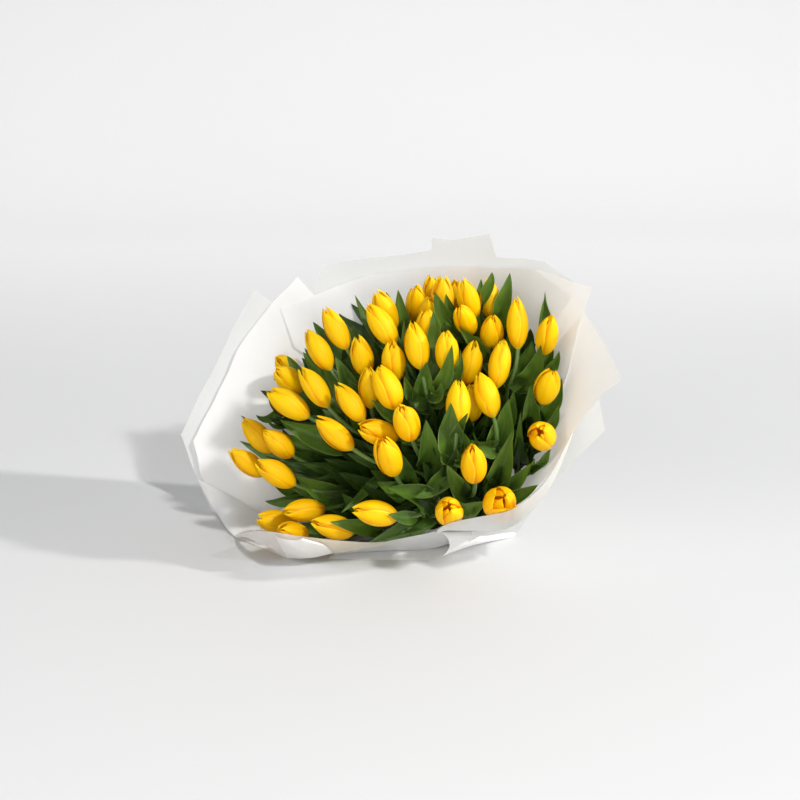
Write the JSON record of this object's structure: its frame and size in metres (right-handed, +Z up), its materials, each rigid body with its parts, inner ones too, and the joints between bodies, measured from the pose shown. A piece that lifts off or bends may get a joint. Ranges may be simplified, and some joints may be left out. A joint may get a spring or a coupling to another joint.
{
  "type": "wrapped tulip bunch",
  "caption": "Large cut bunch of yellow tulips with broad dark leaves, lying on its side in gathered sheets of white wrapping paper that are tied round the stems.",
  "frame": {"origin": "middle of the underside of the bunch's bounding box, on the surface it lies on", "axes": "+Z up; the mouth of the wrap looks towards -Y and a little to -X, the cut stem ends lie towards +Y; +X to the right as seen from the mouth"},
  "size_m": [0.5242, 0.4074, 0.3608],
  "materials": {
    "petal": "satin yellow petal with orange creases",
    "leaf": "satin dark green leaf and stem",
    "paper": "matte white, slightly translucent",
    "cord": "matte twisted natural fibre"
  },
  "bodies": {
    "root": {"bloom_01": "petal", "bloom_02": "petal", "bloom_03": "petal", "bloom_04": "petal", "bloom_05": "petal", "bloom_06": "petal", "bloom_07": "petal", "bloom_08": "petal", "bloom_09": "petal", "bloom_10": "petal", "bloom_11": "petal", "bloom_12": "petal", "bloom_13": "petal", "bloom_14": "petal", "bloom_15": "petal", "bloom_16": "petal", "bloom_17": "petal", "bloom_18": "petal", "bloom_19": "petal", "bloom_20": "petal", "bloom_21": "petal", "bloom_22": "petal", "bloom_23": "petal", "bloom_24": "petal", "bloom_25": "petal", "bloom_26": "petal", "bloom_27": "petal", "bloom_28": "petal", "bloom_29": "petal", "bloom_30": "petal", "bloom_31": "petal", "bloom_32": "petal", "bloom_33": "petal", "bloom_34": "petal", "bloom_35": "petal", "bloom_36": "petal", "bloom_37": "petal", "bloom_38": "petal", "bloom_39": "petal", "bloom_40": "petal", "bloom_41": "petal", "bloom_42": "petal", "bloom_43": "petal", "bloom_44": "petal", "bloom_45": "petal", "bloom_46": "petal", "bloom_47": "petal", "bloom_48": "petal", "bloom_49": "petal", "bloom_50": "petal", "leafy_stems_1": "leaf", "leafy_stems_2": "leaf", "leafy_stems_3": "leaf", "leafy_stems_4": "leaf", "paper_sheet_back": "paper", "paper_sheet_front": "paper", "paper_sheet_left": "paper", "paper_sheet_outer_back": "paper", "paper_sheet_outer_right": "paper", "waist_cord": "cord"}
  },
  "joints": []
}
